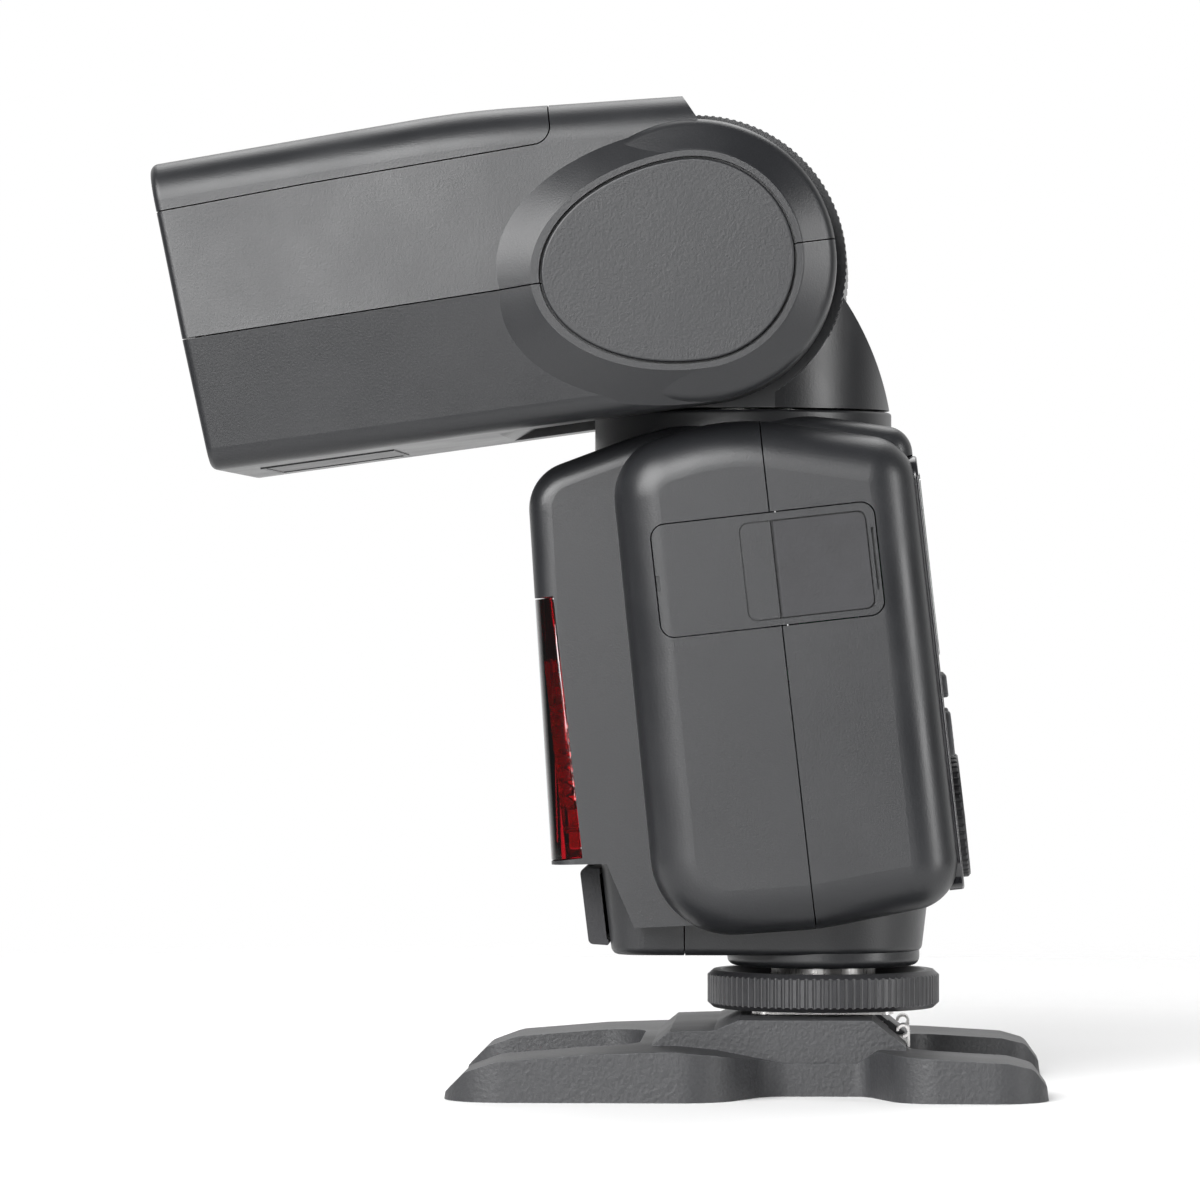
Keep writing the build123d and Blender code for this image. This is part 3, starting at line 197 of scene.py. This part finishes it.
def glossy(name, colour, rough, scratch_mm=0.0004, coat=0.0):
    """Polished plastic with faint wipe marks and dust dulling it in patches."""
    look = Shading(name, colour, rough, Coat_Weight=coat, Coat_Roughness=0.04)
    marks = look.noise(9, 5.0, 0.6)
    hairs = look.brushed(0.5, (1, 1, 0.06))
    look.roughness(look.maths("ADD", look.spread(marks, rough * 0.6, rough * 1.8),
                              look.spread(hairs, 0.0, 0.05, 0.55, 0.75)))
    look.colour(look.tint(marks, (0.25, scaled(colour, 0.9)), (0.75, scaled(colour, 1.1))))
    look.bump(look.noise(2.5, 2.0), scratch_mm)
    return look.material


def rubber(name, colour, rough):
    """Soft elastomer: a fine grain, a dry bloom and no sharp highlights."""
    look = Shading(name, colour, rough, Specular_IOR_Level=0.35, Sheen_Weight=0.12, Sheen_Roughness=0.5)
    bloom = look.noise(5, 4.0)
    look.colour(look.tint(bloom, (0.3, scaled(colour, 0.85)), (0.75, scaled(colour, 1.35))))
    look.roughness(look.spread(bloom, rough - 0.06, rough + 0.1))
    look.bump(look.maths("ADD", look.noise(0.22, 2.0), look.pits(0.5)), 0.03)
    return look.material


def clear(name, colour, rough, ior=1.49, haze_mm=12, **coat):
    """Moulded transparent plastic, with slight waviness and a haze of handling."""
    look = Shading(name, colour, rough, Transmission_Weight=1.0, IOR=ior, **coat)
    haze = look.noise(haze_mm, 4.0)
    look.roughness(look.spread(haze, rough * 0.5, rough * 2.0))
    look.bump(look.noise(6, 2.0), 0.01)
    return look.material


def metal(name, colour, rough, stretch=(1, 1, 0.08), tarnish=0.8):
    """Bare metal with drawn or turned marks and a little tarnish."""
    look = Shading(name, colour, rough, Metallic=1.0)
    lines = look.brushed(0.18, stretch)
    stain = look.noise(4, 4.0)
    look.colour(look.tint(stain, (0.3, scaled(colour, tarnish)), (0.65, colour)))
    look.roughness(look.maths("ADD", look.spread(lines, rough * 0.7, rough * 1.3),
                              look.spread(stain, 0.08, 0.0)))
    look.bump(lines, 0.004)
    return look.material


def circuit(name, colour):
    """Solder mask over copper tracks."""
    look = Shading(name, colour, 0.35)
    tracks = look.add("ShaderNodeTexBrick")
    look.feed(tracks, Vector=look.coords, Scale=260.0, Color1=(*scaled(colour, 0.8), 1))
    look.feed(tracks, Color2=(*colour, 1), Mortar=(*scaled(colour, 1.9), 1), Mortar_Size=0.012)
    look.colour(tracks.outputs["Color"])
    look.roughness(look.spread(look.noise(1.5), 0.25, 0.45))
    look.bump(tracks.outputs["Fac"], -0.03)
    return look.material


def printed_sleeve(name, colour):
    """Shrink sleeve of a cell or capacitor, with a darker band and no print."""
    look = Shading(name, colour, 0.25)
    bands = look.add("ShaderNodeTexWave", bands_direction="X")
    look.feed(bands, Vector=look.coords, Scale=6.0, Distortion=0.0)
    look.colour(look.tint(bands.outputs["Fac"], (0.45, scaled(colour, 0.45)), (0.5, colour)))
    look.roughness(look.spread(look.noise(3), 0.18, 0.34))
    look.bump(look.noise(1.2), 0.008)
    return look.material


def paper_white(name):
    """Satin white plastic sheet, very slightly marked."""
    look = Shading(name, (0.86, 0.86, 0.84), 0.45)
    marks = look.noise(7, 4.0)
    look.colour(look.tint(marks, (0.3, (0.8, 0.8, 0.78)), (0.6, (0.88, 0.88, 0.86))))
    look.roughness(look.spread(marks, 0.38, 0.55))
    look.bump(look.noise(0.4), 0.01)
    return look.material


CHARCOAL = (0.012, 0.0125, 0.014)
looks = {
    "casing_black": moulded("casing_black", CHARCOAL, 0.36, 0.20, 0.012),
    "cap_black": moulded("cap_black", scaled(CHARCOAL, 1.1), 0.42, 0.30, 0.02, worn=0.3),
    "stand_black": moulded("stand_black", (0.026, 0.0265, 0.0285), 0.50, 0.42, 0.06, worn=0.45),
    "ring_black": moulded("ring_black", (0.022, 0.022, 0.024), 0.40, 0.16, 0.012, worn=0.5),
    "inner_black": moulded("inner_black", (0.02, 0.02, 0.021), 0.55, 0.3, 0.02, worn=0.1),
    "panel_black": glossy("panel_black", (0.012, 0.012, 0.014), 0.16, coat=0.5),
    "key_grey": rubber("key_grey", (0.055, 0.056, 0.06), 0.6),
    "rubber_black": rubber("rubber_black", (0.022, 0.022, 0.024), 0.62),
    "window_red": clear("window_red", (0.50, 0.004, 0.012), 0.03, 1.55,
                        Coat_Weight=1.0, Coat_IOR=1.9, Coat_Roughness=0.03),
    "lens_clear": clear("lens_clear", (0.93, 0.95, 0.95), 0.06),
    "display_glass": clear("display_glass", (0.80, 0.83, 0.82), 0.05),
    "display_grey": glossy("display_grey", (0.34, 0.40, 0.33), 0.4),
    "lamp_red": glossy("lamp_red", (0.45, 0.01, 0.015), 0.2, coat=0.4),
    "bright_metal": metal("bright_metal", (0.62, 0.61, 0.60), 0.28),
    "mirror_metal": metal("mirror_metal", (0.90, 0.90, 0.89), 0.10, tarnish=0.95),
    "brass": metal("brass", (0.80, 0.58, 0.28), 0.26),
    "board_green": circuit("board_green", (0.02, 0.16, 0.06)),
    "cell_wrap": printed_sleeve("cell_wrap", (0.30, 0.31, 0.34)),
    "card_white": paper_white("card_white"),
}
symbol_white = glossy("symbol_white", (0.72, 0.73, 0.74), 0.4)
lcd_ink = glossy("lcd_ink", (0.03, 0.04, 0.04), 0.45)
facet_silver = metal("facet_silver", (0.93, 0.90, 0.90), 0.07, tarnish=0.97)

for part in frame["record"]["subparts"]:
    if part["node"] in nodes:
        mesh = nodes[part["node"]].data
        mesh.materials.clear()
        mesh.materials.append(looks[part["material_slot"]])


# ---------------------------------------------------------------- mesh helpers
def piece(name, mesh_maker, place, material, body):
    """A mesh piece built in a local frame, in metres, riding on a body."""
    mesh = bpy.data.meshes.new(name)
    work = bmesh.new()
    mesh_maker(work)
    bmesh.ops.transform(work, matrix=place, verts=work.verts)
    bmesh.ops.recalc_face_normals(work, faces=work.faces)
    work.to_mesh(mesh)
    work.free()
    made = bpy.data.objects.new(name, mesh)
    bpy.context.scene.collection.objects.link(made)
    mesh.materials.append(material)
    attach(made, body)
    return made


def add_prism(work, outline, low, high, axes=(0, 1, 2)):
    """A closed prism: outline points lie on the first two axes and rise along the third."""
    rings = []
    for level in (low, high):
        ring = []
        for point in outline:
            co = [0.0, 0.0, 0.0]
            co[axes[0]], co[axes[1]], co[axes[2]] = point[0], point[1], level
            ring.append(work.verts.new(co))
        rings.append(ring)
    count = len(outline)
    work.faces.new(rings[0][::-1])
    work.faces.new(rings[1])
    for i in range(count):
        after = (i + 1) % count
        work.faces.new((rings[0][i], rings[0][after], rings[1][after], rings[1][i]))


def rectangle(x_low, x_high, y_low, y_high):
    return [(x_low, y_low), (x_high, y_low), (x_high, y_high), (x_low, y_high)]


def polygon(centre, radius, sides, start=0.0):
    return [(centre[0] + radius * cos(start + 2 * pi * i / sides),
             centre[1] + radius * sin(start + 2 * pi * i / sides)) for i in range(sides)]


# ---------------------------------------------------------------- ribbed drum of the neck
def drum_ribs(work):
    """Fine ribs along the tilt drum, seen between the two ears of the head."""
    high = span("neck_shell", NECK)[1]
    radius, half_width = high.z, high.x - 0.2 * MM
    first, sweep = radians(-28), radians(226)
    rib, sunk, proud, crest_share, count = 0.5 * MM, 0.15 * MM, 0.14 * MM, 0.35, 84
    for i in range(count):
        angle = first + sweep * i / (count - 1)
        out = Vector((cos(angle), sin(angle)))
        along = Vector((-out.y, out.x))
        foot, crest = out * (radius - sunk), out * (radius + proud)
        outline = [foot - along * rib, crest - along * rib * crest_share,
                   crest + along * rib * crest_share, foot + along * rib]
        add_prism(work, outline, -half_width, half_width, (1, 2, 0))


NECK = local_frame(pivot, Vector((0, 1, 0)), Vector((0, 0, 1)))
piece("drum_ribs", drum_ribs, NECK, looks["casing_black"], "neck")


# ---------------------------------------------------------------- red window
def add_pyramid(work, corner, right, upward, outward):
    """A closed four-sided pyramid on a square base, with its tip pushed outward."""
    tip = corner + right * 0.5 + upward * 0.5 + outward
    base = [corner, corner + right, corner + right + upward, corner + upward]
    verts = [work.verts.new(point) for point in base]
    peak = work.verts.new(tip)
    for i in range(4):
        work.faces.new((verts[i], verts[(i + 1) % 4], peak))
    work.faces.new(verts[::-1])


def window_facets(work):
    """A sheet of small pyramids behind the lower half of the red window, round both cheeks."""
    low = span("af_window", BODY)[0]
    cell, wall = 2.1 * MM, 20.7 * MM
    bottom, top = low.z + 7.0 * MM, low.z + 23.0 * MM
    lean = 0.048                       # how far the nose runs back for each unit up
    right, back, up = Vector((cell, 0, 0)), Vector((0, cell, 0)), Vector((0, 0, cell))
    rows, columns = int((top - bottom) / cell), int(2 * (wall - 1.5 * MM) / cell)
    for row in range(rows):
        height = bottom + row * cell
        front = low.y + 2.7 * MM + lean * (height - low.z)
        for column in range(columns):
            left = -columns * cell / 2 + column * cell
            add_pyramid(work, Vector((left, front + 1.4 * MM, height)), right, up,
                        Vector((0, -1.3 * MM, 0)))
        for side in (-1, 1):
            for step in range(2):
                corner = Vector((side * (wall - 1.1 * MM), front + 0.3 * MM + step * cell, height))
                add_pyramid(work, corner, back, up, Vector((side * 1.0 * MM, 0, 0)))


piece("window_facets", window_facets, BODY, facet_silver, "flash_body")


def window_liner(work):
    """Two red shelves across the inside of the window."""
    low, high = span("af_window", BODY)
    half_width, thickness = 20.4 * MM, 0.5 * MM
    outline = rectangle(-half_width, half_width, low.y + 2.9 * MM, high.y)
    for height in (low.z + 3.6 * MM, low.z + 22.0 * MM):
        add_prism(work, outline, height, height + thickness)


piece("window_liner", window_liner, BODY, looks["lamp_red"], "flash_body")


# ---------------------------------------------------------------- ribs of the flash lens
def lens_ribs(work):
    """Saw-tooth ribs on the inner side of the front lens."""
    low, high = span("fresnel_lens", HEAD)
    pitch, depth, web, gap = 0.9 * MM, 0.38 * MM, 0.12 * MM, 0.03 * MM
    margin, end_margin = 1.5 * MM, 1.2 * MM
    back = low.y - gap
    bottom, top = low.z + margin, high.z - margin
    count = int((top - bottom) / pitch)
    middle = (bottom + top) / 2
    outline = [(back, bottom)]
    for i in range(count):
        start = bottom + i * pitch
        peak = start + pitch * (0.12 if start < middle else 0.88)
        outline += [(back - web, start), (back - depth, peak)]
    outline += [(back - web, bottom + count * pitch), (back, bottom + count * pitch)]
    add_prism(work, outline, low.x + end_margin, high.x - end_margin, (1, 2, 0))


piece("lens_ribs", lens_ribs, HEAD, looks["lens_clear"], "head")


# ---------------------------------------------------------------- display and key marks
def rear_face(node):
    """Middle of a node's rear face in the body frame."""
    low, high = span(node, BODY)
    return Vector(((low.x + high.x) / 2, high.y, (low.z + high.z) / 2))


def mark(work, centre, outline, thickness=0.05 * MM):
    """One flat raised mark on a rear face; the outline is (sideways, up) about its middle."""
    points = [(centre.x + x, centre.z + z) for x, z in outline]
    add_prism(work, points, centre.y - 0.02 * MM, centre.y + thickness, (0, 2, 1))


def lcd_content(work):
    """A power bar, a zoom scale and a battery sign: bars only."""
    middle = rear_face("display_module")
    ink = 0.03 * MM
    for i in range(13):
        tall = (2.6 if i % 3 == 0 else 1.5) * MM
        tick = rectangle(-0.16 * MM, 0.16 * MM, 0, tall)
        mark(work, middle + Vector(((i - 6) * 2.6 * MM, 0, -8.5 * MM)), tick, ink)
    for i in range(9):
        bar = rectangle(-1.2 * MM, 1.2 * MM, 0, (2.0 + 0.75 * i) * MM)
        mark(work, middle + Vector(((i - 4) * 3.4 * MM, 0, -3.0 * MM)), bar, ink)
    badge = middle + Vector((-15.5 * MM, 0, 8.6 * MM))
    for edge in (rectangle(-3.4 * MM, 3.0 * MM, 1.3 * MM, 1.6 * MM),
                 rectangle(-3.4 * MM, 3.0 * MM, -1.6 * MM, -1.3 * MM),
                 rectangle(-3.4 * MM, -3.1 * MM, -1.3 * MM, 1.3 * MM),
                 rectangle(2.7 * MM, 3.0 * MM, -1.3 * MM, 1.3 * MM),
                 rectangle(3.0 * MM, 3.5 * MM, -0.6 * MM, 0.6 * MM)):
        mark(work, badge, edge, ink)
    cell = rectangle(-0.7 * MM, 0.7 * MM, -0.9 * MM, 0.9 * MM)
    for i in range(3):
        mark(work, badge + Vector(((i - 1.1) * 1.8 * MM, 0, 0)), cell, ink)


piece("lcd_content", lcd_content, BODY, lcd_ink, "flash_body")


def marks(name, node, outlines):
    """White marks printed on a key."""
    def maker(work):
        for outline in outlines:
            mark(work, rear_face(node), outline)
    piece(name, maker, BODY, symbol_white, node)


for number in range(1, 5):
    dash = rectangle(-0.45 * number * MM, 0.45 * number * MM, -0.2 * MM, 0.2 * MM)
    marks(f"soft_key_mark_{number}", f"soft_key_{number}", [dash])
BOLT = [(0.7, 1.9), (-1.2, -0.3), (-0.1, -0.3), (-0.7, -1.9), (1.2, 0.4), (0.1, 0.4)]
marks("test_mark", "test_button", [[(x * MM, y * MM) for x, y in BOLT]])
LINES = [rectangle(-1.6 * MM, 1.6 * MM, y * MM, (y + 0.4) * MM) for y in (-1.2, -0.2, 0.8)]
marks("mode_mark", "mode_button", LINES)
marks("set_mark", "set_button", [polygon((0, 0), 0.9 * MM, 24)])


def dial_arrows(work):
    """Four arrowheads on the flat of the dial."""
    middle = rear_face("select_dial")
    for quarter in range(4):
        centre = polygon((0, 0), 7.1 * MM, 4)[quarter]
        mark(work, middle, polygon(centre, 0.85 * MM, 3, quarter * pi / 2))


piece("dial_arrows", dial_arrows, BODY, symbol_white, "select_dial")


# ---------------------------------------------------------------- rating plate under the head
def rating_plate(work):
    """A blank plate with a raised border on the underside of the head."""
    low, high = span("head_lower_shell", HEAD)
    slope = (1.2 * MM) / high.y
    start, end, half_width, border = 48.5 * MM, 68.5 * MM, 16 * MM, 0.7 * MM
    rim, plate, sunk = 0.22 * MM, 0.08 * MM, 0.3 * MM
    for x_low, x_high, y_low, y_high, proud in (
            (-half_width, half_width, start, start + border, rim),
            (-half_width, half_width, end - border, end, rim),
            (-half_width, -half_width + border, start + border, end - border, rim),
            (half_width - border, half_width, start + border, end - border, rim),
            (-half_width + border, half_width - border, start + border, end - border, plate)):
        verts = []
        for x, y in rectangle(x_low, x_high, y_low, y_high):
            skin = low.z + slope * y
            outer, inner = work.verts.new((x, y, skin - proud)), work.verts.new((x, y, skin + sunk))
            verts.append((outer, inner))
        work.faces.new([pair[0] for pair in verts])
        work.faces.new([pair[1] for pair in verts][::-1])
        for i in range(4):
            after = (i + 1) % 4
            work.faces.new((verts[i][0], verts[i][1], verts[after][1], verts[after][0]))


piece("rating_plate", rating_plate, HEAD, looks["cap_black"], "head")


# ---------------------------------------------------------------- floor, light and camera
def floor(radius, solid):
    """A pale disc that carries the shadow and fades out towards its rim."""
    look = Shading("pale_floor", (0.90, 0.90, 0.90), 0.6)
    look.roughness(look.spread(look.noise(40), 0.55, 0.65))
    reach = look.add("ShaderNodeVectorMath", operation="LENGTH")
    look.tree.links.new(look.coords, reach.inputs[0])
    fade = look.spread(reach.outputs["Value"], 0.0, 1.0, solid, radius)
    mix = look.add("ShaderNodeMixShader")
    look.tree.links.new(fade, mix.inputs["Fac"])
    look.tree.links.new(look.shader.outputs[0], mix.inputs[1])
    look.tree.links.new(look.add("ShaderNodeBsdfTransparent").outputs[0], mix.inputs[2])
    look.tree.links.new(mix.outputs[0], look.tree.nodes["Material Output"].inputs["Surface"])
    mesh = bpy.data.meshes.new("floor")
    rim = [(*point, 0) for point in polygon((0, 0), radius, 96)]
    mesh.from_pydata(rim, [], [tuple(range(len(rim)))])
    mesh.materials.append(look.material)
    made = bpy.data.objects.new("floor", mesh)
    bpy.context.scene.collection.objects.link(made)


def softbox(name, bearing, height, distance, width, tall, radiance):
    """A rectangular soft light aimed at the object; bearing is in degrees, 0 at the photo's camera."""
    angle = CAMERA_AZIMUTH + radians(bearing)
    lamp = bpy.data.lights.new(name, "AREA")
    lamp.shape = "RECTANGLE"
    lamp.size, lamp.size_y, lamp.energy = width, tall, radiance * pi * width * tall
    made = bpy.data.objects.new(name, lamp)
    made.location = MIDDLE + Vector((distance * sin(angle), -distance * cos(angle), height - MIDDLE.z))
    made.rotation_mode = "QUATERNION"
    level = Vector((MIDDLE.x, MIDDLE.y, MIDDLE.z * 0.5 + height * 0.5))
    made.rotation_quaternion = (level - made.location).to_track_quat("-Z", "Y")
    bpy.context.scene.collection.objects.link(made)


def white_world(seen, behind, around):
    """A surround that the camera sees white, bright behind the object and dim on its near side."""
    world = bpy.data.worlds.new("surround")
    bpy.context.scene.world = world
    world.use_nodes = True
    tree = world.node_tree
    split = tree.nodes.new("ShaderNodeSeparateXYZ")
    tree.links.new(tree.nodes.new("ShaderNodeTexCoord").outputs["Generated"], split.inputs[0])
    depth = tree.nodes.new("ShaderNodeMapRange")
    ends = {"From Min": -0.75, "From Max": -0.15, "To Min": behind, "To Max": around}
    for socket, value in ends.items():
        depth.inputs[socket].default_value = value
    tree.links.new(split.outputs["X"], depth.inputs["Value"])
    level = tree.nodes.new("ShaderNodeMapRange")
    level.inputs["To Max"].default_value = seen
    tree.links.new(tree.nodes.new("ShaderNodeLightPath").outputs["Is Camera Ray"], level.inputs["Value"])
    tree.links.new(depth.outputs["Result"], level.inputs["To Min"])
    back = tree.nodes["Background"]
    back.inputs["Color"].default_value = (1, 1, 1, 1)
    tree.links.new(level.outputs["Result"], back.inputs["Strength"])


CAMERA_AZIMUTH, CAMERA_DISTANCE = radians(92.4), 1.0
MIDDLE = Vector((0, -0.02, 0.08))
floor(radius=0.42, solid=0.20)
white_world(seen=1.0, behind=1.0, around=0.05)
softbox("key", bearing=-32, height=0.64, distance=1.1, width=1.15, tall=0.85, radiance=11.5)
softbox("edge_strip", bearing=64, height=0.25, distance=1.1, width=0.22, tall=0.8, radiance=13.0)
softbox("window_card", bearing=-15, height=0.085, distance=1.0, width=0.50, tall=0.10, radiance=8.0)
softbox("overhead", bearing=180, height=0.75, distance=0.35, width=0.6, tall=0.5, radiance=3.0)

target = Vector((0, -0.0335, 0.0727))
camera_data = bpy.data.cameras.new("camera")
camera_data.sensor_width, camera_data.lens = 36, 199.8
camera = bpy.data.objects.new("camera", camera_data)
camera.location = target + CAMERA_DISTANCE * Vector((sin(CAMERA_AZIMUTH), -cos(CAMERA_AZIMUTH), 0))
camera.rotation_mode = "QUATERNION"
camera.rotation_quaternion = (target - camera.location).to_track_quat("-Z", "Y")
bpy.context.scene.collection.objects.link(camera)
bpy.context.scene.camera = camera
bpy.context.scene.view_settings.view_transform = "Standard"
